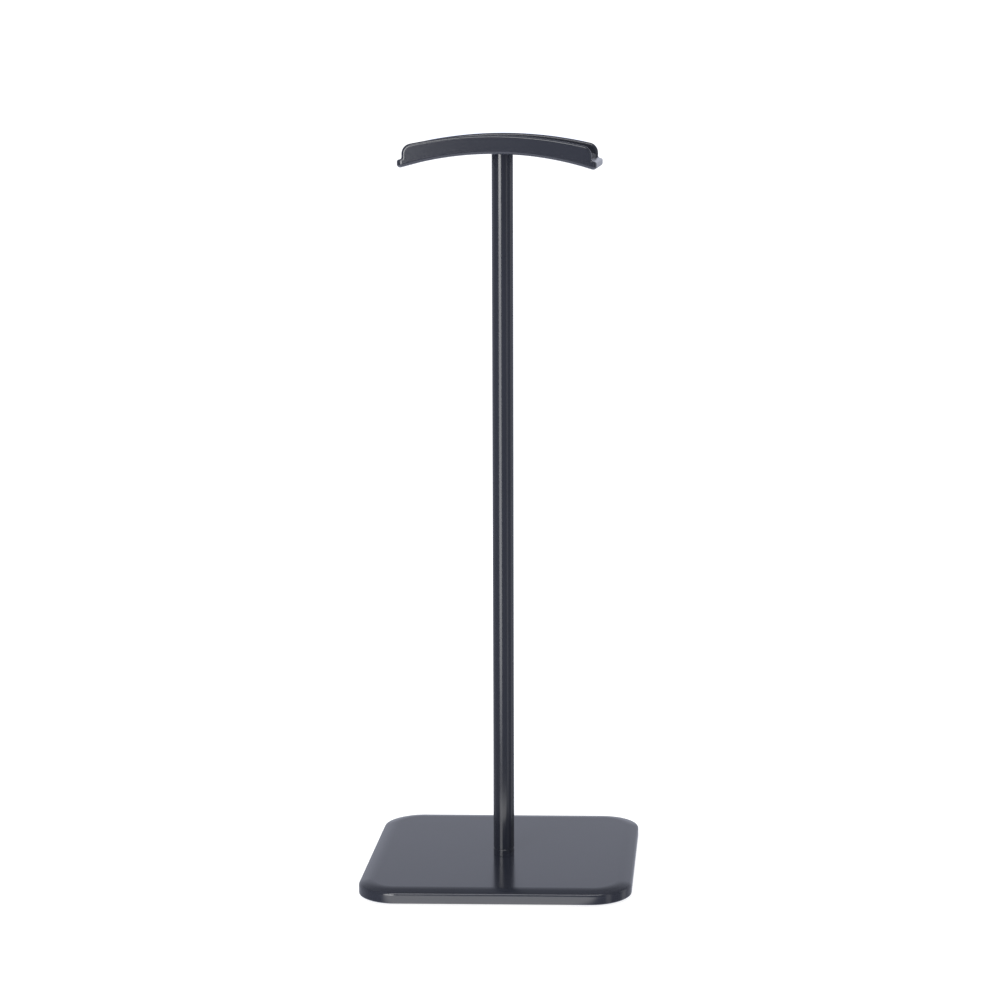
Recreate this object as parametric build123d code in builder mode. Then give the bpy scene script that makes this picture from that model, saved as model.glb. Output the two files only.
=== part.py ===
from build123d import *

import os

# Desk headphone stand. A heavy rounded-square base plate carries a slim tubular post, and an arched
# saddle with two raised side rims sits on the post. Two countersunk screws hold it together, one from
# under the base and one from inside the saddle. A soft pad lies under the base and another in the saddle.
# Millimetres, +Z up. The origin is on the table, on the post's axis. The saddle's arch runs along X.

os.makedirs("parts", exist_ok=True)

# --- Base -----------------------------------------------------------------------------------------
BASE_SIDE = 102.0
BASE_THICKNESS = 5.0
BASE_CORNER = 15.0
CROWN_WIDTH = 3.4  # the top falls away gently over this width along the plate's edge
CROWN_DROP = 1.1
CROWN_ROUND = 14.0
BASE_EDGE_ROUND = 1.0
BASE_BOTTOM_ROUND = 0.5
FOOT_STANDS_PROUD = 0.8  # the foot pad lifts the plate off the table by this much
POCKET_DEPTH = 0.4  # shallow pocket that keeps the foot pad from creeping
POCKET_SIDE = 96.0
POCKET_CORNER = 12.0

# --- Post -----------------------------------------------------------------------------------------
POST_RADIUS = 4.0
POST_WALL = 1.0
PLUG_FLANGE = 1.3
PLUG_LENGTH = 12.0
PRESS_GAP = 0.01  # radial gap that stands for the press fit of a plug in the tube
END_CHAMFER = 0.15

# --- Saddle ---------------------------------------------------------------------------------------
SADDLE_UNDERSIDE = 275.4  # height of the underside at the middle of the arch
SADDLE_WIDTH = 50.0
SADDLE_HALF_LENGTH = 36.4
FLOOR_THICKNESS = 3.0
UNDERSIDE_RADIUS = 118.0
RIM_HEIGHT = 6.8  # from the underside to the top of the rim, at the middle
RIM_RADIUS = 150.0
RIM_THICKNESS = 2.4
RIM_HALF_LENGTH = 34.6
RIM_END_ROUND = 3.8
RIM_LIP_ROUND = 1.1
RIM_ROOT_ROUND = 0.8
TOUCH = 0.01  # closer than this counts as the same place
ARCH_WINDOW = 40.0  # tall enough to hold the arch's rise from end to end
UNDERSIDE_ROUND = 1.2
TONGUE_CORNER = 2.0
TONGUE_LIP_ROUND = 0.7
POST_SEAT_DEPTH = 0.5
POST_SEAT_GAP = 0.05

# --- Pads and adhesive films ------------------------------------------------------------------------
FILM = 0.15
PAD_THICKNESS = 1.0
PAD_SIDE_GAP = 0.2
SADDLE_PAD_GAP = 0.9  # clears the round at the foot of each rim
PAD_HALF_LENGTH = 34.0
SADDLE_PAD_CORNER = 4.0
FOOT_PAD_ROUND = 0.3
SCREW_ACCESS_RADIUS = 6.5

# --- M4 countersunk screws --------------------------------------------------------------------------
SCREW_LENGTH = 12.0
HEAD_RADIUS = 4.0
HEAD_LIP = 0.3
SHANK_RADIUS = 1.97  # crest of the thread
THREAD_ROOT = 1.6
THREAD_PITCH = 0.7
THREAD_BORE = 2.0  # crest-to-crest radius of the female thread
CLEARANCE_HOLE = 2.25
SINK_RADIUS = 4.5
SINK_ANGLE = 90.0
HEX_SIDES = 6
HEX_FLATS = 2.5
HEX_DEPTH = 1.5
SEAT_GAP = 0.03

# --- Heights that follow ----------------------------------------------------------------------------
PLATE_BOTTOM = FOOT_STANDS_PROUD
PLATE_TOP = PLATE_BOTTOM + BASE_THICKNESS
POCKET_CEILING = PLATE_BOTTOM + POCKET_DEPTH
FLOOR_TOP = SADDLE_UNDERSIDE + FLOOR_THICKNESS
POST_TOP = SADDLE_UNDERSIDE + POST_SEAT_DEPTH
TUBE_BOTTOM = PLATE_TOP + PLUG_FLANGE
ARCH_CENTRE = SADDLE_UNDERSIDE - UNDERSIDE_RADIUS
TUBE_BORE = POST_RADIUS - POST_WALL
SCREW_INSET = SINK_RADIUS - HEAD_RADIUS - HEAD_LIP - SEAT_GAP  # how far the head lies below its face


def countersunk_screw(face):
    """An M4 screw whose flat head lies on the plane, with the plane's Z pointing away from the thread."""
    side = Plane(origin=face.origin, x_dir=face.x_dir, z_dir=-face.y_dir)
    cone_end = HEAD_LIP + HEAD_RADIUS - SHANK_RADIUS
    thread_start = cone_end + THREAD_PITCH
    turns = int((SCREW_LENGTH - thread_start) / THREAD_PITCH)
    flank = SHANK_RADIUS - THREAD_ROOT
    points = [(0, 0), (HEAD_RADIUS, 0), (HEAD_RADIUS, -HEAD_LIP), (SHANK_RADIUS, -cone_end)]
    points.append((SHANK_RADIUS, -thread_start))
    for turn in range(turns):
        top = thread_start + turn * THREAD_PITCH
        points.append((THREAD_ROOT, -top - THREAD_PITCH / 2))
        points.append((SHANK_RADIUS, -top - THREAD_PITCH))
    points.append((SHANK_RADIUS, -SCREW_LENGTH + flank))
    points.append((THREAD_ROOT, -SCREW_LENGTH))
    points.append((0, -SCREW_LENGTH))
    with BuildPart() as screw:
        with BuildSketch(side):
            with BuildLine():
                Polyline(*points, close=True)
            make_face()
        revolve(axis=Axis(face.origin, face.z_dir))
        with BuildSketch(face):
            RegularPolygon(HEX_FLATS / 2, HEX_SIDES, major_radius=False)
        extrude(amount=-HEX_DEPTH, mode=Mode.SUBTRACT)
    return screw.part


def is_crown_foot(edge):
    """Says whether an edge of the plate lies where its crown meets the upright sides."""
    return abs(edge.center().Z - PLATE_TOP + CROWN_DROP) < TOUCH


def is_rim_root(edge):
    """Says whether an edge is the arc where a rim's inner face meets the saddle's floor."""
    on_inner_face = abs(abs(edge.center().Y) - SADDLE_WIDTH / 2 + RIM_THICKNESS) < TOUCH
    on_arch = edge.geom_type == GeomType.CIRCLE and edge.radius > UNDERSIDE_RADIUS
    return on_inner_face and on_arch


def finish_part(part, name):
    """Labels a piece and writes it to its own file."""
    part.label = name
    export_step(part, f"parts/{name}.step")


# --- Base plate: steel, rounded top edge, pocket and countersunk hole underneath ----------------------
with BuildPart() as base_plate:
    with BuildSketch(Plane.XY.offset(PLATE_BOTTOM)):
        RectangleRounded(BASE_SIDE, BASE_SIDE, BASE_CORNER)
    extrude(amount=BASE_THICKNESS)
    flat_top = base_plate.faces().sort_by(Axis.Z)[-1]
    chamfer(flat_top.edges(), CROWN_WIDTH, CROWN_DROP, reference=flat_top)
    fillet(base_plate.edges().filter_by(is_crown_foot), BASE_EDGE_ROUND)
    fillet(base_plate.faces().sort_by(Axis.Z)[-1].edges(), CROWN_ROUND)
    fillet(base_plate.faces().sort_by(Axis.Z)[0].edges(), BASE_BOTTOM_ROUND)
    with BuildSketch(Plane.XY.offset(PLATE_BOTTOM)):
        RectangleRounded(POCKET_SIDE, POCKET_SIDE, POCKET_CORNER)
    extrude(amount=POCKET_DEPTH, mode=Mode.SUBTRACT)
    with Locations(Plane(origin=(0, 0, POCKET_CEILING), z_dir=(0, 0, -1))):
        CounterSinkHole(CLEARANCE_HOLE, SINK_RADIUS, counter_sink_angle=SINK_ANGLE)
finish_part(base_plate.part, "base_plate")

# --- Foot pad and its film: one soft sheet with a hole for the hex key ---------------------------------
FOOT_LAYERS = {
    "foot_pad": (0.0, POCKET_CEILING - FILM),
    "foot_pad_film": (POCKET_CEILING - FILM, FILM),
}
for name, (height, thickness) in FOOT_LAYERS.items():
    with BuildPart() as foot_layer:
        with BuildSketch(Plane.XY.offset(height)):
            RectangleRounded(POCKET_SIDE - 2 * PAD_SIDE_GAP, POCKET_SIDE - 2 * PAD_SIDE_GAP, POCKET_CORNER)
            Circle(SCREW_ACCESS_RADIUS, mode=Mode.SUBTRACT)
        extrude(amount=thickness)
        if name == "foot_pad":
            fillet(foot_layer.faces().sort_by(Axis.Z)[0].outer_wire().edges(), FOOT_PAD_ROUND)
    finish_part(foot_layer.part, name)

# --- Post: a thin tube, a flanged plug at the foot and a flush plug at the top -------------------------
with BuildPart() as post_tube:
    with BuildSketch(Plane.XY.offset(TUBE_BOTTOM)):
        Circle(POST_RADIUS)
        Circle(TUBE_BORE, mode=Mode.SUBTRACT)
    extrude(amount=POST_TOP - TUBE_BOTTOM)
    outer_edges = post_tube.edges().filter_by(GeomType.CIRCLE).sort_by(SortBy.RADIUS)[-2:]
    chamfer(outer_edges, END_CHAMFER)
finish_part(post_tube.part, "post_tube")

with BuildPart() as lower_plug:
    with BuildSketch(Plane.XY.offset(PLATE_TOP)):
        Circle(POST_RADIUS)
    extrude(amount=PLUG_FLANGE)
    chamfer(lower_plug.edges().sort_by(Axis.Z)[-1], END_CHAMFER)
    with BuildSketch(Plane.XY.offset(TUBE_BOTTOM)):
        Circle(TUBE_BORE - PRESS_GAP)
    extrude(amount=PLUG_LENGTH)
    chamfer(lower_plug.edges().sort_by(Axis.Z)[-1], 2 * END_CHAMFER)
    with Locations((0, 0, TUBE_BOTTOM + PLUG_LENGTH)):
        Hole(THREAD_BORE)
finish_part(lower_plug.part, "lower_plug")

with BuildPart() as upper_plug:
    with BuildSketch(Plane.XY.offset(POST_TOP - PLUG_LENGTH)):
        Circle(TUBE_BORE - PRESS_GAP)
    extrude(amount=PLUG_LENGTH)
    chamfer(upper_plug.edges().sort_by(Axis.Z)[0], 2 * END_CHAMFER)
    with Locations((0, 0, POST_TOP)):
        Hole(THREAD_BORE)
finish_part(upper_plug.part, "upper_plug")

# --- Screws: one from under the base, one from inside the saddle ---------------------------------------
base_screw_face = Plane(origin=(0, 0, POCKET_CEILING + SCREW_INSET), z_dir=(0, 0, -1))
saddle_screw_face = Plane(origin=(0, 0, FLOOR_TOP - SCREW_INSET), z_dir=(0, 0, 1))
finish_part(countersunk_screw(base_screw_face), "base_screw")
finish_part(countersunk_screw(saddle_screw_face), "saddle_screw")

# --- Saddle: an arched floor with short tongues at its ends and a raised rim along each side -----------
with BuildPart() as rim:
    with BuildSketch(Plane.XZ.offset(SADDLE_WIDTH / 2)):
        with Locations((0, SADDLE_UNDERSIDE + RIM_HEIGHT - RIM_RADIUS)):
            Circle(RIM_RADIUS)
        with Locations((0, SADDLE_UNDERSIDE)):
            Rectangle(2 * RIM_HALF_LENGTH, ARCH_WINDOW, mode=Mode.INTERSECT)
        fillet(vertices().group_by(Axis.Y)[-1], RIM_END_ROUND)
        with Locations((0, ARCH_CENTRE)):
            Circle(UNDERSIDE_RADIUS + FLOOR_THICKNESS / 2, mode=Mode.SUBTRACT)
    extrude(amount=-RIM_THICKNESS)
    buried_arcs = rim.edges().filter_by(GeomType.CIRCLE).sort_by(SortBy.RADIUS)[-4:-2]
    fillet(rim.edges().filter_by(Axis.Y, reverse=True) - buried_arcs, RIM_LIP_ROUND)

with BuildPart() as saddle:
    with BuildSketch(Plane.XZ):
        with Locations((0, ARCH_CENTRE)):
            Circle(UNDERSIDE_RADIUS + FLOOR_THICKNESS)
            Circle(UNDERSIDE_RADIUS, mode=Mode.SUBTRACT)
        with Locations((0, SADDLE_UNDERSIDE)):
            Rectangle(2 * SADDLE_HALF_LENGTH, ARCH_WINDOW, mode=Mode.INTERSECT)
    extrude(amount=SADDLE_WIDTH / 2, both=True)
    fillet(saddle.edges().filter_by(Axis.Z), TONGUE_CORNER)
    underside, top = saddle.faces().sort_by(SortBy.AREA)[-2:].sort_by(Axis.Z)
    fillet(underside.edges(), UNDERSIDE_ROUND)
    top = saddle.faces().sort_by(SortBy.AREA)[-2:].sort_by(Axis.Z)[-1]
    fillet(top.edges(), TONGUE_LIP_ROUND)
    add(rim.part)
    add(mirror(rim.part, about=Plane.XZ, mode=Mode.PRIVATE))
    fillet(saddle.edges().filter_by(is_rim_root), RIM_ROOT_ROUND)
    with Locations((0, 0, FLOOR_TOP)):
        CounterSinkHole(CLEARANCE_HOLE, SINK_RADIUS, counter_sink_angle=SINK_ANGLE)
    with Locations(Plane(origin=(0, 0, SADDLE_UNDERSIDE - POST_SEAT_DEPTH), z_dir=(0, 0, -1))):
        Hole(POST_RADIUS + POST_SEAT_GAP, 2 * POST_SEAT_DEPTH)
finish_part(saddle.part, "saddle")

# --- Saddle pad and its film: bent to the arch between the rims ----------------------------------------
SADDLE_LAYERS = {
    "saddle_pad_film": (FLOOR_THICKNESS, FILM),
    "saddle_pad": (FLOOR_THICKNESS + FILM, PAD_THICKNESS),
}
PAD_HALF_WIDTH = SADDLE_WIDTH / 2 - RIM_THICKNESS - SADDLE_PAD_GAP
for name, (height, thickness) in SADDLE_LAYERS.items():
    with BuildPart() as saddle_layer:
        with BuildSketch(Plane.XZ):
            with Locations((0, ARCH_CENTRE)):
                Circle(UNDERSIDE_RADIUS + height + thickness)
                Circle(UNDERSIDE_RADIUS + height, mode=Mode.SUBTRACT)
        extrude(amount=PAD_HALF_WIDTH, both=True)
        with BuildSketch(Plane.XY.offset(SADDLE_UNDERSIDE)):
            RectangleRounded(2 * PAD_HALF_LENGTH, 2 * PAD_HALF_WIDTH, SADDLE_PAD_CORNER)
        extrude(amount=ARCH_WINDOW, both=True, mode=Mode.INTERSECT)
    finish_part(saddle_layer.part, name)
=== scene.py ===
"""Looks of a desk headphone stand: a rounded base plate, a slim post and an arched saddle.

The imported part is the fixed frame. Its coated metal pieces and its two films keep their shape and get their
finish here. The two soft pads and the two screws are modelled here in full. Lengths are in metres.
"""

import logging
import math
from dataclasses import dataclass, field
from enum import Enum

import bmesh
import bpy
from mathutils import Matrix, Vector

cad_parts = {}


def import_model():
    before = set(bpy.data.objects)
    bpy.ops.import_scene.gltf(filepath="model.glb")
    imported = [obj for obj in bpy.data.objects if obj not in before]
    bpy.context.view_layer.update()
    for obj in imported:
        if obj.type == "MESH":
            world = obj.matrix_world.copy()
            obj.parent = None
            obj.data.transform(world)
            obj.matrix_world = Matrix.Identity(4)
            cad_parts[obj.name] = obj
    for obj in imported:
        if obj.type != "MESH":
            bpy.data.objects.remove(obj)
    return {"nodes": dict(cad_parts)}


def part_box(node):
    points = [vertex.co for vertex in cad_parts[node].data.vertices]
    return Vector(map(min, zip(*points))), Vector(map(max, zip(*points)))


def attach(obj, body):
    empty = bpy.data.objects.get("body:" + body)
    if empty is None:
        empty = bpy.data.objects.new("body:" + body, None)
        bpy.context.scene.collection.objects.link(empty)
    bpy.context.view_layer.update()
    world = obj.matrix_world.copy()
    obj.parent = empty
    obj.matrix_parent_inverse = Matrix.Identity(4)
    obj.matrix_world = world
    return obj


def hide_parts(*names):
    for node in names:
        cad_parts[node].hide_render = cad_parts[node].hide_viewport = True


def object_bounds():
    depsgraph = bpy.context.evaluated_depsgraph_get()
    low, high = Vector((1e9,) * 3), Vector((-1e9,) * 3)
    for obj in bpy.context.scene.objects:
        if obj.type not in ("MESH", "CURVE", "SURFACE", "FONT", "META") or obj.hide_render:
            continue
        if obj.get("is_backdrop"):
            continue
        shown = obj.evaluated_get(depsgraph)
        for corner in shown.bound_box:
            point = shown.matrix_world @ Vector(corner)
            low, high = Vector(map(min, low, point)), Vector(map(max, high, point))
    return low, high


MM = 0.001
CREASE = math.radians(35)  # edges sharper than this stay sharp
WELD = 0.001 * MM  # points closer than this are one
SLICE_SNAP = 0.0001 * MM  # a plane this close to a point goes through it
ARC = 0.5  # bevel profile of a round
CORNER_FACETS = 16
HEX_SIDES = 6
MIDDLE_HALF = (0.25, 0.75)  # the stretch that most of a noise pattern lies in
UNIT = (0.0, 1.0)
WHITE = (1.0, 1.0, 1.0, 1.0)
MIX_FACTOR = 0  # sockets of the mix node, which has no unique names for them
MIX_FLOATS = (2, 3)
MIX_COLOURS = (6, 7)
MIX_FLOAT_RESULT = 0
MIX_COLOUR_RESULT = 2
ROOT = "root"
log = logging.getLogger("headphone_stand")

Colour = tuple[float, float, float]
Span = tuple[float, float]
Socket = bpy.types.NodeSocket


class Slot(Enum):
    """Material slots of the record meant for the new pieces; nothing in the script reads them."""

    SILICONE = "silicone"
    ZINC_STEEL = "zinc_steel"


class Maths(Enum):
    """Operations of the maths node that the stage uses."""

    ADD = "ADD"
    SUBTRACT = "SUBTRACT"
    ABSOLUTE = "ABSOLUTE"
    MAXIMUM = "MAXIMUM"


class Affect(Enum):
    """What a bevel rounds."""

    EDGES = "EDGES"
    VERTICES = "VERTICES"


# --- Node trees -------------------------------------------------------------------------------------------


class NodeTree:
    """A material's node tree with short calls for the nodes that the finishes share."""

    def __init__(self, name: str) -> None:
        """Makes a material with an empty tree and a Principled shader wired to its output.

        Args:
            name: the material's name.
        """
        self.material = bpy.data.materials.new(name)
        self.material.use_nodes = True
        self.tree = self.material.node_tree
        self.tree.nodes.clear()
        output = self.tree.nodes.new("ShaderNodeOutputMaterial")
        self.shader = self.tree.nodes.new("ShaderNodeBsdfPrincipled")
        self.link(self.shader.outputs["BSDF"], output.inputs["Surface"])
        self.place = self.tree.nodes.new("ShaderNodeTexCoord").outputs["Object"]

    def link(self, source: Socket, target: Socket) -> None:
        """Wires one socket to another."""
        self.tree.links.new(source, target)

    def noise(self, scale: float, detail: float = 2.0, roughness: float = 0.5) -> Socket:
        """Adds a noise pattern on the piece's own coordinates.

        Args:
            scale: bumps per metre.
            detail: how many finer layers it has.
            roughness: how strong the finer layers are.

        Returns:
            The pattern's value, from 0 to 1.
        """
        node = self.tree.nodes.new("ShaderNodeTexNoise")
        node.inputs["Scale"].default_value = scale
        node.inputs["Detail"].default_value = detail
        node.inputs["Roughness"].default_value = roughness
        self.link(self.place, node.inputs["Vector"])
        return node.outputs["Fac"]

    def spread(self, value: Socket, ends: Span) -> Socket:
        """Maps the middle half of a pattern onto a range.

        Args:
            value: the pattern.
            ends: the results where the pattern is low and where it is high.

        Returns:
            The mapped value.
        """
        node = self.tree.nodes.new("ShaderNodeMapRange")
        node.inputs["From Min"].default_value, node.inputs["From Max"].default_value = MIDDLE_HALF
        node.inputs["To Min"].default_value, node.inputs["To Max"].default_value = ends
        self.link(value, node.inputs["Value"])
        return node.outputs["Result"]

    def colour(self, pattern: Socket, colour: Colour, tones: Span) -> None:
        """Gives the shader a colour that a pattern makes lighter and darker.

        Args:
            pattern: where it is lighter and where it is darker.
            colour: the plain colour.
            tones: factors on the colour where the pattern is low and where it is high.
        """
        node = self.tree.nodes.new("ShaderNodeMix")
        node.data_type = "RGBA"
        for index, tone in zip(MIX_COLOURS, tones):
            node.inputs[index].default_value = (*(channel * tone for channel in colour), 1.0)
        self.link(self.spread(pattern, UNIT), node.inputs[MIX_FACTOR])
        self.link(node.outputs[MIX_COLOUR_RESULT], self.shader.inputs["Base Color"])

    def roughen(self, pattern: Socket, ends: Span) -> None:
        """Gives the shader a roughness that follows a pattern.

        Args:
            pattern: where it is rougher.
            ends: roughness where the pattern is low and where it is high.
        """
        self.link(self.spread(pattern, ends), self.shader.inputs["Roughness"])

    def relief(self, *layers: tuple[Socket, float, float]) -> None:
        """Stacks bump layers and wires them to the shader's normal.

        Args:
            layers: for each layer its height pattern, its strength and its depth in metres.
        """
        below = None
        for height, strength, depth in layers:
            node = self.tree.nodes.new("ShaderNodeBump")
            node.inputs["Strength"].default_value = strength
            node.inputs["Distance"].default_value = depth
            self.link(height, node.inputs["Height"])
            if below is not None:
                self.link(below, node.inputs["Normal"])
            below = node.outputs["Normal"]
        self.link(below, self.shader.inputs["Normal"])


# --- Finishes ---------------------------------------------------------------------------------------------


@dataclass(frozen=True)
class PowderCoat:
    """Baked powder coat: satin, with a soft orange-peel skin and a fine grain in it."""

    name: str
    colour: Colour
    tones: Span = (0.94, 1.06)
    roughness: Span = (0.13, 0.2)
    peel_per_metre: float = 520.0
    peel_strength: float = 0.5
    peel_depth: float = 0.012 * MM
    grain_per_metre: float = 2600.0
    grain_strength: float = 0.6
    grain_depth: float = 0.002 * MM
    peel_bumps_per_cloud: int = 12

    def material(self) -> bpy.types.Material:
        """Builds the finish.

        Returns:
            The material.
        """
        nodes = NodeTree(self.name)
        peel = nodes.noise(self.peel_per_metre, detail=2.0)
        grain = nodes.noise(self.grain_per_metre, detail=3.0, roughness=0.6)
        cloud = nodes.noise(self.peel_per_metre / self.peel_bumps_per_cloud, detail=3.0)
        nodes.colour(cloud, self.colour, self.tones)
        nodes.roughen(grain, self.roughness)
        nodes.relief(
            (peel, self.peel_strength, self.peel_depth), (grain, self.grain_strength, self.grain_depth)
        )
        return nodes.material


@dataclass(frozen=True)
class Silicone:
    """Moulded silicone rubber: matt and slightly dusty, with the mould's fine spark texture."""

    name: str
    colour: Colour
    tones: Span = (1.0, 1.35)
    roughness: Span = (0.62, 0.74)
    shine: float = 0.35
    spark_per_metre: float = 3000.0
    spark_strength: float = 0.5
    spark_depth: float = 0.015 * MM
    sparks_per_dust: int = 40

    def material(self) -> bpy.types.Material:
        """Builds the finish.

        Returns:
            The material.
        """
        nodes = NodeTree(self.name)
        spark = nodes.noise(self.spark_per_metre, detail=2.0, roughness=0.6)
        dust = nodes.noise(self.spark_per_metre / self.sparks_per_dust, detail=4.0, roughness=0.65)
        nodes.colour(dust, self.colour, self.tones)
        nodes.roughen(dust, self.roughness)
        nodes.shader.inputs["Specular IOR Level"].default_value = self.shine
        nodes.relief((spark, self.spark_strength, self.spark_depth))
        return nodes.material


@dataclass(frozen=True)
class ZincPlate:
    """Bright zinc plating on steel, with a faint mottle."""

    name: str
    colour: Colour
    tones: Span = (0.8, 1.0)
    roughness: Span = (0.24, 0.4)
    mottle_per_metre: float = 900.0
    mottle_strength: float = 0.4
    mottle_depth: float = 0.004 * MM

    def material(self) -> bpy.types.Material:
        """Builds the finish.

        Returns:
            The material.
        """
        nodes = NodeTree(self.name)
        mottle = nodes.noise(self.mottle_per_metre, detail=5.0, roughness=0.6)
        nodes.colour(mottle, self.colour, self.tones)
        nodes.shader.inputs["Metallic"].default_value = 1.0
        nodes.roughen(mottle, self.roughness)
        nodes.relief((mottle, self.mottle_strength, self.mottle_depth))
        return nodes.material


@dataclass(frozen=True)
class AdhesiveFilm:
    """Thin double-sided adhesive film with a faint crinkle."""

    name: str
    colour: Colour
    tones: Span = (0.85, 1.15)
    roughness: Span = (0.35, 0.55)
    crinkle_per_metre: float = 350.0
    crinkle_strength: float = 0.5
    crinkle_depth: float = 0.02 * MM

    def material(self) -> bpy.types.Material:
        """Builds the finish.

        Returns:
            The material.
        """
        nodes = NodeTree(self.name)
        crinkle = nodes.noise(self.crinkle_per_metre, detail=4.0, roughness=0.6)
        nodes.colour(crinkle, self.colour, self.tones)
        nodes.roughen(crinkle, self.roughness)
        nodes.relief((crinkle, self.crinkle_strength, self.crinkle_depth))
        return nodes.material


# --- Mesh helpers -----------------------------------------------------------------------------------------


def dress(piece: bpy.types.Object, material: bpy.types.Material) -> None:
    """Puts one material in all of a piece's slots.

    Args:
        piece: the piece.
        material: its finish.
    """
    if not piece.material_slots:
        piece.data.materials.append(material)
    for slot in piece.material_slots:
        slot.material = material


def make_piece(mesh: bmesh.types.BMesh, name: str) -> bpy.types.Object:
    """Turns a bmesh into an object at the origin with smooth, outward faces.

    Args:
        mesh: the shape, in the row's frame. It is freed.
        name: the object's name.

    Returns:
        The object.
    """
    bmesh.ops.remove_doubles(mesh, verts=mesh.verts, dist=WELD)
    bmesh.ops.recalc_face_normals(mesh, faces=mesh.faces)
    data = bpy.data.meshes.new(name)
    mesh.to_mesh(data)
    mesh.free()
    data.shade_smooth()
    data.set_sharp_from_angle(angle=CREASE)
    piece = bpy.data.objects.new(name, data)
    bpy.context.scene.collection.objects.link(piece)
    return piece


def is_upright(edge: bmesh.types.BMEdge) -> bool:
    """Says whether an edge runs straight up."""
    across = (edge.verts[0].co - edge.verts[1].co).xy.length
    return across < WELD < edge.calc_length()


def round_off(
    mesh: bmesh.types.BMesh, geometry: list, radius: float, facets: int, affect: Affect = Affect.EDGES
) -> None:
    """Rounds edges or corners of a mesh.

    Args:
        mesh: the mesh to work on.
        geometry: the edges or vertices to round.
        radius: the round's radius.
        facets: how many faces make the round.
        affect: whether edges or vertices are rounded.
    """
    bmesh.ops.bevel(
        mesh, geom=geometry, offset=radius, segments=facets, profile=ARC, affect=affect.value, material=-1
    )


def circle_edges(mesh: bmesh.types.BMesh, radius: float, height: float, facets: int) -> list:
    """Adds one level ring of edges about the vertical axis.

    Args:
        mesh: the mesh to add to.
        radius: the ring's radius, to its corners.
        height: the ring's height.
        facets: how many edges it has.

    Returns:
        The edges.
    """
    place = Matrix.Translation((0, 0, height))
    made = bmesh.ops.create_circle(mesh, cap_ends=False, radius=radius, segments=facets, matrix=place)
    return list({edge for vertex in made["verts"] for edge in vertex.link_edges})


def extruded(mesh: bmesh.types.BMesh, edges: list) -> list[bmesh.types.BMVert]:
    """Draws new faces out of edges.

    Args:
        mesh: the mesh to add to.
        edges: the edges to draw from.

    Returns:
        The new vertices, which still lie on the old ones.
    """
    drawn = bmesh.ops.extrude_edge_only(mesh, edges=edges)["geom"]
    return [item for item in drawn if isinstance(item, bmesh.types.BMVert)]


def swap_solid(piece: bpy.types.Object, node: str) -> None:
    """Puts a piece in place of its plain solid.

    Args:
        piece: the new piece.
        node: the solid's node.
    """
    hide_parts(node)
    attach(piece, ROOT)


def rounded_slab(width: float, depth: float, corner: float, low: float, high: float) -> bmesh.types.BMesh:
    """Builds a flat slab with round corners, centred on the vertical axis.

    Args:
        width: size along X.
        depth: size along Y.
        corner: radius of the four upright corners.
        low: height of its underside.
        high: height of its top.

    Returns:
        The slab.
    """
    slab = bmesh.new()
    size = Vector((width, depth, high - low))
    place = Matrix.Translation((0, 0, (low + high) / 2)) @ Matrix.Diagonal((*size, 1))
    bmesh.ops.create_cube(slab, size=1.0, matrix=place)
    corners = [edge for edge in slab.edges if is_upright(edge)]
    round_off(slab, corners, corner, CORNER_FACETS)
    return slab


def slice_along(mesh: bmesh.types.BMesh, axis: Vector, half: float, count: int) -> None:
    """Cuts a mesh into equal slices with planes across an axis.

    Args:
        mesh: the mesh to cut.
        axis: unit vector along which the planes are spaced.
        half: half the length that is cut.
        count: how many slices.
    """
    for index in range(1, count):
        place = axis * (2 * half * index / count - half)
        geometry = [*mesh.verts, *mesh.edges, *mesh.faces]
        bmesh.ops.bisect_plane(mesh, geom=geometry, dist=SLICE_SNAP, plane_co=place, plane_no=axis)


# --- Soft pads --------------------------------------------------------------------------------------------


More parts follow.
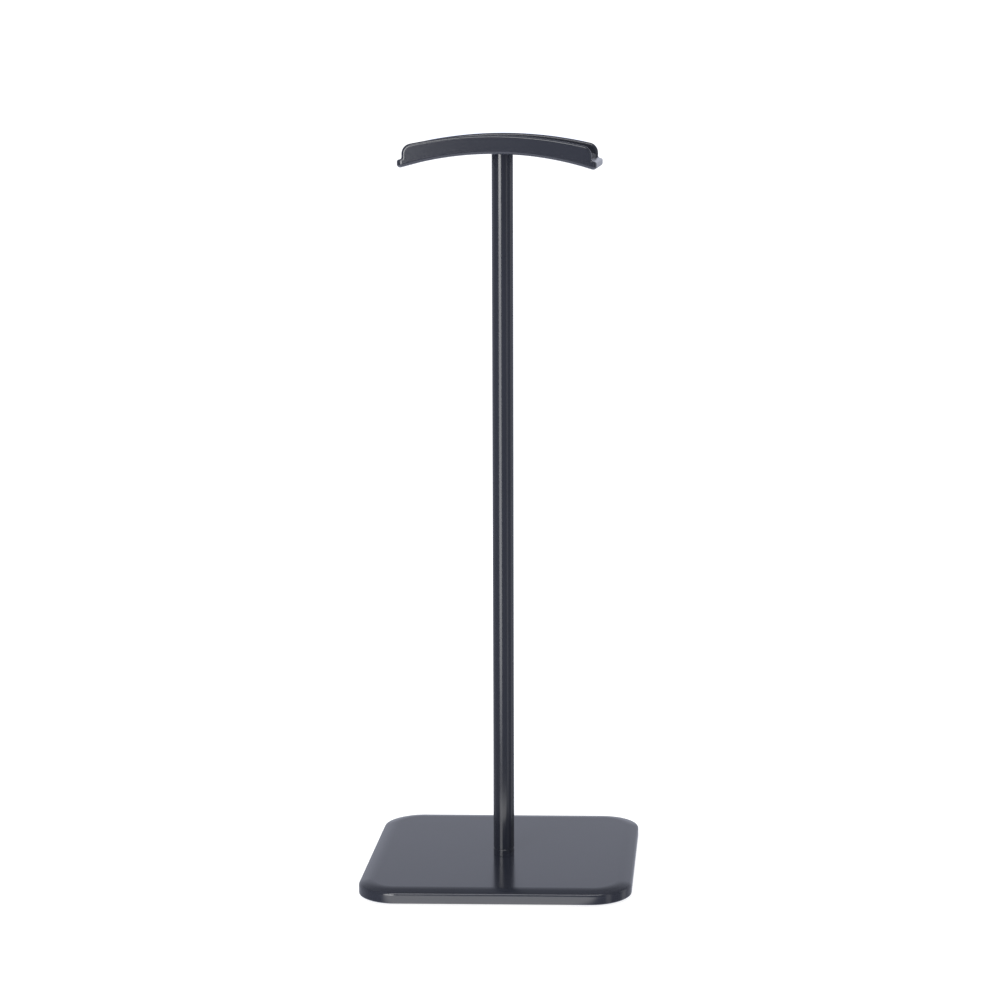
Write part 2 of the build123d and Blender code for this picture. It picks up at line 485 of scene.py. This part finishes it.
@dataclass
class SaddlePad:
    """Silicone pad on the saddle's floor, bent to the arch, with shallow grip grooves across it."""

    node: str = "saddle_pad"
    thickness: float = 1.0 * MM
    corner: float = 4.0 * MM
    edge_round: float = 0.4 * MM
    edge_facets: int = 4
    top_share: float = 0.99  # points above this share of the thickness lie on the top
    groove_pitch: float = 6.0 * MM
    groove_width: float = 1.4 * MM
    groove_depth: float = 0.45 * MM
    border: float = 3.0 * MM
    slices: int = 272
    rows: int = 29

    def arch_centre(self, low: Vector, high: Vector) -> float:
        """Finds the height of the arch's centre from the pad's own box.

        Args:
            low: lowest corner of the pad.
            high: highest corner of the pad.

        Returns:
            The height at which the underside's circle has its centre.
        """
        crown = high.z - self.thickness
        end = low.z
        return (crown**2 - end**2 - high.x**2) / (2 * (crown - end))

    def groove(self, across: float, along: float, half_width: float) -> float:
        """Gives how deep the top is cut at a point.

        Args:
            across: distance along X.
            along: distance along Y.
            half_width: half the pad's width.

        Returns:
            The depth below the plain top.
        """
        nearest = round(across / self.groove_pitch) * self.groove_pitch
        run = half_width - self.border - self.groove_width / 2
        beyond = max(0.0, abs(along) - run)
        reach = math.hypot(across - nearest, beyond) / (self.groove_width / 2)
        return self.groove_depth * math.sqrt(max(0.0, 1.0 - reach**2))

    def build(self) -> bpy.types.Object:
        """Builds the pad.

        Returns:
            The pad, in place of its plain solid.
        """
        low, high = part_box(self.node)
        slab = rounded_slab(2 * high.x, 2 * high.y, self.corner, 0.0, self.thickness)
        rim = [edge for edge in slab.edges if all(v.co.z > self.thickness / 2 for v in edge.verts)]
        round_off(slab, rim, self.edge_round, self.edge_facets)
        slice_along(slab, Vector((1, 0, 0)), high.x, self.slices)
        slice_along(slab, Vector((0, 1, 0)), high.y, self.rows)
        centre = self.arch_centre(low, high)
        radius = high.z - self.thickness - centre
        end_groove = high.x - self.border
        for vertex in slab.verts:
            x, y, height = vertex.co
            if height > self.thickness * self.top_share and abs(x) < end_groove:
                height -= self.groove(x, y, high.y)
            vertex.co.z = centre + math.sqrt((radius + height) ** 2 - x**2)
        pad = make_piece(slab, "saddle_grip_pad")
        swap_solid(pad, self.node)
        return pad


@dataclass
class FootPad:
    """Rubber sheet under the base, with a groove round its border and a hole for the hex key."""

    node: str = "foot_pad"
    corner: float = 12.0 * MM
    hole_radius: float = 6.5 * MM
    edge_round: float = 0.3 * MM
    edge_facets: int = 3
    border: float = 4.0 * MM
    groove_width: float = 1.6 * MM
    groove_depth: float = 0.35 * MM
    facets: int = 68

    def build(self) -> bpy.types.Object:
        """Builds the pad.

        Returns:
            The pad, in place of its plain solid.
        """
        low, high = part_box(self.node)
        sheet = bmesh.new()
        place = Matrix.Translation((0, 0, low.z))
        bmesh.ops.create_grid(sheet, x_segments=1, y_segments=1, size=high.x, matrix=place)
        round_off(sheet, sheet.verts[:], self.corner, CORNER_FACETS, Affect.VERTICES)
        flank, depth = self.groove_width / 4, self.groove_depth
        steps = [(self.border, 0.0), (flank, depth), (2 * flank, 0.0), (flank, -depth)]
        inner = sheet.faces[:]
        for width, rise in steps:
            bmesh.ops.inset_region(
                sheet, faces=inner, thickness=width, use_boundary=True, use_even_offset=True
            )
            bmesh.ops.translate(sheet, verts=list({v for f in inner for v in f.verts}), vec=(0, 0, rise))
        outline = list({edge for face in inner for edge in face.edges})
        bmesh.ops.delete(sheet, geom=inner, context="FACES_ONLY")
        hole = circle_edges(sheet, self.hole_radius, low.z, self.facets)
        bmesh.ops.triangle_fill(sheet, use_beauty=True, edges=outline + hole, normal=(0, 0, 1))
        self.thicken(sheet, high.z - low.z)
        pad = make_piece(sheet, "foot_grip_pad")
        swap_solid(pad, self.node)
        return pad

    def thicken(self, sheet: bmesh.types.BMesh, thickness: float) -> None:
        """Closes the moulded underside with upright walls and a flat top, and rounds its lower edges.

        Args:
            sheet: the underside, which becomes the whole pad.
            thickness: the pad's thickness.
        """
        rim = [edge for edge in sheet.edges if edge.is_boundary]
        bmesh.ops.translate(sheet, verts=extruded(sheet, rim), vec=(0, 0, thickness))
        lids = [edge for edge in sheet.edges if edge.is_boundary]
        bmesh.ops.triangle_fill(sheet, use_beauty=True, edges=lids, normal=(0, 0, 1))
        bmesh.ops.recalc_face_normals(sheet, faces=sheet.faces)
        round_off(sheet, rim, self.edge_round, self.edge_facets)


# --- Screws -----------------------------------------------------------------------------------------------


@dataclass
class CountersunkScrew:
    """M4 countersunk screw with a hex socket and a helical thread, modelled head up and then turned.

    Along the axis, heights of the thread are counted in pitches below the end of the neck.
    """

    node: str
    name: str
    head_up: bool
    head_radius: float = 4.0 * MM
    lip: float = 0.3 * MM
    crest_radius: float = 1.97 * MM
    root_radius: float = 1.6 * MM
    pitch: float = 0.7 * MM
    hex_flats: float = 2.5 * MM
    hex_depth: float = 1.5 * MM
    edge_round: float = 0.12 * MM
    facets: int = 48
    levels: tuple[float, ...] = (0.0, 0.25, 0.56, 0.69, 1.0)  # one turn: root, root, crest, crest, root
    thread_start: float = 0.3
    end_middle: float = 0.8  # middle height of the thread's upper end
    end_reach: float = 1.2  # an end lies within this of its middle height
    thread_weld: float = 0.002 * MM

    def head(self, screw: bmesh.types.BMesh) -> None:
        """Builds the head with its hex socket and the plain neck below it.

        Args:
            screw: the mesh to add to.
        """
        cone_end = self.lip + self.head_radius - self.crest_radius
        mouth = self.hex_flats / math.sqrt(3)
        socket = circle_edges(screw, mouth, 0.0, HEX_SIDES)
        profile = [
            (self.head_radius - self.edge_round, 0.0),
            (self.head_radius, -self.edge_round),
            (self.head_radius, -self.lip),
            (self.crest_radius, -cone_end),
            (self.crest_radius, -cone_end - self.pitch / 2),
            (self.root_radius, -cone_end - self.pitch),
        ]
        last = socket
        for radius, height in profile:
            ring = circle_edges(screw, radius, height, self.facets)
            bmesh.ops.bridge_loops(screw, edges=last + ring)
            last = ring
        floor = extruded(screw, socket)
        bmesh.ops.translate(screw, verts=floor, vec=(0, 0, -self.hex_depth))
        self.cap(screw, floor)

    def cap(self, screw: bmesh.types.BMesh, ring: list[bmesh.types.BMVert]) -> None:
        """Closes an open ring of vertices with one face.

        Args:
            screw: the mesh to add to.
            ring: the vertices of the open ring.
        """
        edges = [edge for edge in screw.edges if edge.is_boundary and edge.verts[0] in ring]
        bmesh.ops.contextual_create(screw, geom=edges)

    def thread(self, screw: bmesh.types.BMesh, top: float, turns: int) -> None:
        """Winds the thread as one helical strip and closes it at both ends.

        Args:
            screw: the mesh to add to.
            top: height at which the strip begins.
            turns: how many times it goes round.
        """
        before = set(screw.verts)
        root, crest = self.root_radius, self.crest_radius
        outline = zip((root, root, crest, crest, root), self.levels)
        points = [screw.verts.new((radius, 0.0, top - level * self.pitch)) for radius, level in outline]
        edges = [screw.edges.new(pair) for pair in zip(points, points[1:])]
        bmesh.ops.spin(
            screw,
            geom=points + edges,
            cent=(0, 0, 0),
            axis=(0, 0, 1),
            dvec=(0, 0, -self.pitch / self.facets),
            angle=2 * math.pi * turns,
            steps=self.facets * turns,
            use_merge=False,
        )
        strip = [vertex for vertex in screw.verts if vertex not in before]
        bmesh.ops.remove_doubles(screw, verts=strip, dist=self.thread_weld)

    def close_end(self, screw: bmesh.types.BMesh, level: float, flat: float) -> None:
        """Draws one open end of the thread out to a level ring at the thread's root.

        Args:
            screw: the mesh to add to.
            level: height about which the end lies.
            flat: height of the ring.
        """
        open_edges = [
            edge for edge in screw.edges
            if edge.is_boundary and abs(edge.verts[0].co.z - level) < self.end_reach * self.pitch
        ]
        self.gather(extruded(screw, open_edges), self.root_radius, flat)

    def gather(self, ring: list[bmesh.types.BMVert], radius: float, height: float) -> None:
        """Moves vertices straight outwards or inwards onto a level circle.

        Args:
            ring: the vertices.
            radius: the circle's radius.
            height: the circle's height.
        """
        for vertex in ring:
            vertex.co.z = height
            vertex.co.xy = vertex.co.xy.normalized() * radius

    def build(self) -> bpy.types.Object:
        """Builds the screw.

        Returns:
            The screw, in place of its plain solid.
        """
        low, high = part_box(self.node)
        length = high.z - low.z
        screw = bmesh.new()
        neck_end = -(self.lip + self.head_radius - self.crest_radius) - self.pitch
        turns = int((length + neck_end - self.pitch) / self.pitch)
        self.thread(screw, neck_end - self.pitch * self.thread_start, turns)
        self.close_end(screw, neck_end - self.pitch * self.end_middle, neck_end)
        self.close_end(screw, neck_end - self.pitch * (turns + self.end_middle), -length + self.edge_round)
        bmesh.ops.remove_doubles(screw, verts=screw.verts, dist=self.thread_weld)
        rim = [edge for edge in screw.edges if edge.is_boundary and edge.verts[0].co.z < -length / 2]
        tip = extruded(screw, rim)
        self.gather(tip, self.root_radius - 2 * self.edge_round, -length)
        self.cap(screw, tip)
        self.head(screw)
        face = high.z if self.head_up else low.z
        turn = Matrix.Identity(4) if self.head_up else Matrix.Rotation(math.pi, 4, "X")
        bmesh.ops.transform(screw, matrix=Matrix.Translation((0, 0, face)) @ turn, verts=screw.verts)
        piece = make_piece(screw, self.name)
        swap_solid(piece, self.node)
        return piece


# --- The stand --------------------------------------------------------------------------------------------


@dataclass
class Stand:
    """The whole stand: carried-over metal pieces in their finish, and new pads and screws."""

    nodes: dict[str, bpy.types.Object]
    coat: PowderCoat = PowderCoat("anthracite_powder_coat", (0.0145, 0.016, 0.0225))
    silicone: Silicone = Silicone("black_silicone", (0.018, 0.0185, 0.02))
    zinc: ZincPlate = ZincPlate("bright_zinc", (0.62, 0.62, 0.63))
    film: AdhesiveFilm = AdhesiveFilm("dark_adhesive_film", (0.03, 0.03, 0.032))
    coated: tuple[str, ...] = ("base_plate", "post_tube", "lower_plug", "upper_plug", "saddle")
    films: tuple[str, ...] = ("foot_pad_film", "saddle_pad_film")

    def dress_metal(self) -> None:
        """Gives the coated metal pieces and the films their finish."""
        for names, finish in ((self.coated, self.coat), (self.films, self.film)):
            material = finish.material()
            for name in names:
                dress(self.nodes[name], material)
                log.info("%s in %s", name, finish.name)

    def build_pads(self) -> None:
        """Builds the two pads in silicone."""
        silicone = self.silicone.material()
        for pad in (SaddlePad().build(), FootPad().build()):
            dress(pad, silicone)
            log.info("pad %s, %d faces", pad.name, len(pad.data.polygons))

    def build_screws(self) -> None:
        """Builds the two screws in bright zinc."""
        zinc = self.zinc.material()
        screws = (
            CountersunkScrew("base_screw", "base_hex_screw", head_up=False),
            CountersunkScrew("saddle_screw", "saddle_hex_screw", head_up=True),
        )
        for maker in screws:
            screw = maker.build()
            dress(screw, zinc)
            log.info("screw %s, %d faces", screw.name, len(screw.data.polygons))


# --- Studio -----------------------------------------------------------------------------------------------


@dataclass(frozen=True)
class SoftBox:
    """A rectangular soft light that faces a point on the stand."""

    name: str
    place: tuple[float, float, float]
    target: tuple[float, float, float]
    width: float
    height: float
    watts: float

    def build(self) -> None:
        """Hangs the light."""
        data = bpy.data.lights.new(self.name, type="AREA")
        data.shape = "RECTANGLE"
        data.size = self.width
        data.size_y = self.height
        data.energy = self.watts
        lamp = bpy.data.objects.new(self.name, data)
        lamp.location = self.place
        aim = Vector(self.target) - Vector(self.place)
        lamp.rotation_euler = aim.to_track_quat("-Z", "Y").to_euler()
        bpy.context.scene.collection.objects.link(lamp)


class StageGraph:
    """Short calls for the nodes that the floor and the room share."""

    def __init__(self, tree: bpy.types.NodeTree) -> None:
        """Keeps the tree that the calls add to."""
        self.tree = tree

    def length(self, vector: Socket) -> Socket:
        """Gives the length of a vector.

        Args:
            vector: the vector.

        Returns:
            Its length.
        """
        node = self.tree.nodes.new("ShaderNodeVectorMath")
        node.operation = "LENGTH"
        self.tree.links.new(vector, node.inputs[0])
        return node.outputs["Value"]

    def feed(self, value: Socket | float, target: Socket) -> None:
        """Sets an input to a plain number or wires a value to it.

        Args:
            value: the number or the value.
            target: the input.
        """
        if isinstance(value, float):
            target.default_value = value
        else:
            self.tree.links.new(value, target)

    def maths(self, operation: Maths, *values: Socket | float) -> Socket:
        """Adds a maths node.

        Args:
            operation: what it works out.
            values: its inputs, in order.

        Returns:
            Its result.
        """
        node = self.tree.nodes.new("ShaderNodeMath")
        node.operation = operation.value
        for value, target in zip(values, node.inputs):
            self.feed(value, target)
        return node.outputs["Value"]

    def split(self, vector: Socket) -> bpy.types.NodeOutputs:
        """Takes a vector apart.

        Args:
            vector: the vector.

        Returns:
            Its X, Y and Z.
        """
        node = self.tree.nodes.new("ShaderNodeSeparateXYZ")
        self.tree.links.new(vector, node.inputs["Vector"])
        return node.outputs

    def sidestep(self, place: Socket, middle: float) -> Socket:
        """Gives how far a place lies outside the quarter of the floor in front of the stand.

        Args:
            place: coordinates on the floor.
            middle: where that quarter's middle line crosses the X axis.

        Returns:
            A length that is negative inside that quarter.
        """
        axes = self.split(place)
        aside = self.maths(Maths.ABSOLUTE, self.maths(Maths.SUBTRACT, axes["X"], middle))
        return self.maths(Maths.ADD, aside, axes["Y"])

    def fade(self, value: Socket, reach: Span, ends: Span, smooth: bool = True) -> Socket:
        """Maps a value onto a range.

        Args:
            value: what is mapped.
            reach: the stretch of the value over which the result changes.
            ends: the result at the two ends of that stretch and beyond them.
            smooth: whether the change eases in and out.

        Returns:
            The mapped value.
        """
        node = self.tree.nodes.new("ShaderNodeMapRange")
        node.interpolation_type = "SMOOTHSTEP" if smooth else "LINEAR"
        node.inputs["From Min"].default_value, node.inputs["From Max"].default_value = reach
        node.inputs["To Min"].default_value, node.inputs["To Max"].default_value = ends
        self.tree.links.new(value, node.inputs["Value"])
        return node.outputs["Result"]

    def seen(self) -> Socket:
        """Gives 1 where the stage itself is looked at, and 0 where it lights the stand."""
        return self.tree.nodes.new("ShaderNodeLightPath").outputs["Is Camera Ray"]

    def back_side(self) -> Socket:
        """Gives 1 on the back of a face and 0 on its front."""
        return self.tree.nodes.new("ShaderNodeNewGeometry").outputs["Backfacing"]

    def pick(self, choice: Socket, if_zero: Socket | float, if_one: Socket | float) -> Socket:
        """Picks one of two values, or mixes them.

        Args:
            choice: 0 for the first value and 1 for the second.
            if_zero: the first value, a socket or a plain number.
            if_one: the second value, a socket or a plain number.

        Returns:
            The value picked.
        """
        node = self.tree.nodes.new("ShaderNodeMix")
        node.data_type = "FLOAT"
        self.tree.links.new(choice, node.inputs[MIX_FACTOR])
        for index, value in zip(MIX_FLOATS, (if_zero, if_one)):
            self.feed(value, node.inputs[index])
        return node.outputs[MIX_FLOAT_RESULT]

    def clear_where(self, surface: Socket, clear: Socket) -> None:
        """Wires a surface to the material's output, with nothing there where it is clear.

        Args:
            surface: the shader of the surface.
            clear: 1 where light and sight pass through.
        """
        output = next(node for node in self.tree.nodes if node.type == "OUTPUT_MATERIAL")
        nothing = self.tree.nodes.new("ShaderNodeBsdfTransparent")
        mix = self.tree.nodes.new("ShaderNodeMixShader")
        for source, target in zip((clear, surface, nothing.outputs["BSDF"]), mix.inputs):
            self.tree.links.new(source, target)
        self.tree.links.new(mix.outputs["Shader"], output.inputs["Surface"])


@dataclass
class Studio:
    """A small glowing table in a room that is bright above and behind the stand and dim in front of it.

    The lens sees the table's white spread out to the horizon; to the stand, the table ends close by.
    """

    floor_size: float = 12.0
    floor_tone: float = 0.35
    floor_roughness: float = 0.9
    table_glow: float = 2.45
    table_middle: float = -0.004
    table_edge: Span = (0.08, 0.12)
    table_side: Span = (-0.022, -0.012)
    shown_glow: Span = (0.86, 1.05)
    shown_room: float = 1.2
    shown_reach: Span = (0.08, 0.2)
    behind: Span = (-0.2, 0.4)
    horizon: Span = (-0.1, 0.1)
    overhead: Span = (0.5, 1.0)
    back_low: Span = (0.5, 0.74)
    back_fall: Span = (0.2, 0.6)
    back_high: float = -0.4
    front: Span = (0.33, 0.6)
    below: float = 1.5
    below_reach: Span = (-0.55, -0.36)
    tint: Colour = (0.945, 0.985, 1.15)
    boxes: list[SoftBox] = field(default_factory=list)

    def build_floor(self) -> None:
        """Lays the pale floor."""
        mesh = bmesh.new()
        bmesh.ops.create_grid(mesh, x_segments=1, y_segments=1, size=self.floor_size)
        data = bpy.data.meshes.new("floor")
        mesh.to_mesh(data)
        mesh.free()
        floor = bpy.data.objects.new("floor", data)
        bpy.context.scene.collection.objects.link(floor)
        nodes = NodeTree("pale_floor")
        stage = StageGraph(nodes.tree)
        distance = stage.length(nodes.place)
        seen = stage.seen()
        shown = stage.fade(distance, self.shown_reach, self.shown_glow)
        nodes.link(stage.pick(seen, self.table_glow, shown), nodes.shader.inputs["Emission Strength"])
        nodes.shader.inputs["Emission Color"].default_value = WHITE
        nodes.shader.inputs["Base Color"].default_value = (self.floor_tone,) * 3 + (1.0,)
        nodes.shader.inputs["Roughness"].default_value = self.floor_roughness
        nodes.shader.inputs["Specular IOR Level"].default_value = 0.0
        past_side = stage.fade(stage.sidestep(nodes.place, self.table_middle), self.table_side, UNIT)
        past_end = stage.fade(distance, self.table_edge, UNIT)
        past_edge = stage.pick(seen, stage.maths(Maths.MAXIMUM, past_side, past_end), 0.0)
        hidden = stage.maths(Maths.MAXIMUM, past_edge, stage.back_side())
        stage.clear_where(nodes.shader.outputs["BSDF"], hidden)
        dress(floor, nodes.material)
        floor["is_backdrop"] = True

    def build_room(self) -> None:
        """Surrounds the stand with the room's light. The lens sees plain white."""
        world = bpy.data.worlds.new("room")
        bpy.context.scene.world = world
        world.use_nodes = True
        tree = world.node_tree
        tree.nodes.clear()
        stage = StageGraph(tree)
        output = tree.nodes.new("ShaderNodeOutputWorld")
        light = tree.nodes.new("ShaderNodeBackground")
        axes = stage.split(tree.nodes.new("ShaderNodeTexCoord").outputs["Generated"])
        low = stage.fade(axes["Z"], self.horizon, self.back_low)
        high = stage.fade(axes["Z"], self.back_fall, (0.0, self.back_high), smooth=False)
        front = stage.fade(axes["Z"], self.overhead, self.front)
        behind = stage.fade(axes["Y"], self.behind, UNIT)
        below = stage.fade(axes["Z"], self.below_reach, (self.below, 0.0))
        around = stage.pick(behind, front, stage.maths(Maths.ADD, low, high))
        glow = stage.maths(Maths.ADD, around, below)
        tree.links.new(stage.pick(stage.seen(), glow, self.shown_room), light.inputs["Strength"])
        light.inputs["Color"].default_value = (*self.tint, 1.0)
        tree.links.new(light.outputs["Background"], output.inputs["Surface"])

    def build(self) -> None:
        """Builds the floor, the room and the lights."""
        self.build_floor()
        self.build_room()
        for box in self.boxes:
            box.build()
        bpy.context.scene.view_settings.view_transform = "Standard"


@dataclass(frozen=True)
class LensView:
    """The camera: where it stands about the stand and how it is turned."""

    lens: float = 90.77
    sensor: float = 36.0
    shift: tuple[float, float] = (-0.257, -0.05)
    distance: float = 0.9526
    azimuth: float = 4.973
    height: float = 0.302
    yaw: float = -5.813
    pitch: float = 8.27
    roll: float = 0.70

    def build(self) -> None:
        """Places the camera and makes it the scene's own."""
        data = bpy.data.cameras.new("camera")
        data.lens = self.lens
        data.sensor_width = self.sensor
        data.shift_x, data.shift_y = self.shift
        around = math.radians(self.azimuth)
        heading = math.radians(self.azimuth + self.yaw)
        down = math.radians(self.pitch)
        place = Vector((self.distance * math.sin(around), -self.distance * math.cos(around), self.height))
        level = Vector((-math.sin(heading), math.cos(heading), 0.0)) * math.cos(down)
        aim = level - Vector((0.0, 0.0, math.sin(down)))
        turn = aim.to_track_quat("-Z", "Y").to_matrix().to_4x4()
        tilt = Matrix.Rotation(math.radians(self.roll), 4, "Z")
        camera = bpy.data.objects.new("camera", data)
        camera.matrix_world = Matrix.Translation(place) @ turn @ tilt
        bpy.context.scene.collection.objects.link(camera)
        bpy.context.scene.camera = camera


STUDIO_LIGHTS = [
    SoftBox("left_box", (-0.48, -1.055, 0.43), (0.0, 0.0, 0.43), 0.53, 1.34, 10.7),
    SoftBox("left_high_box", (-0.48, -1.045, 0.37), (0.0, 0.0, 0.37), 0.53, 0.36, 2.9),
    SoftBox("right_box", (0.95, -0.75, 0.2), (0.0, 0.0, 0.2), 0.3, 1.4, 1.0),
    SoftBox("side_box", (1.25, 0.35, 0.1), (0.0, 0.0, 0.15), 0.4, 1.6, 1.0),
    SoftBox("top_box", (0.0, -0.5, 1.2), (0.0, 0.0, 0.28), 1.0, 0.45, 7.5),
]


def main() -> tuple[Vector, Vector]:
    """Builds the camera, the stand and the studio.

    Returns:
        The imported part's box, from straight after loading.
    """
    logging.basicConfig(level=logging.INFO, format="%(name)s: %(message)s")
    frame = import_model()
    cad_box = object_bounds()
    LensView().build()
    stand = Stand(frame["nodes"])
    stand.dress_metal()
    stand.build_pads()
    stand.build_screws()
    Studio(boxes=STUDIO_LIGHTS).build()
    return cad_box


if __name__ == "__main__":
    packed_box = main()
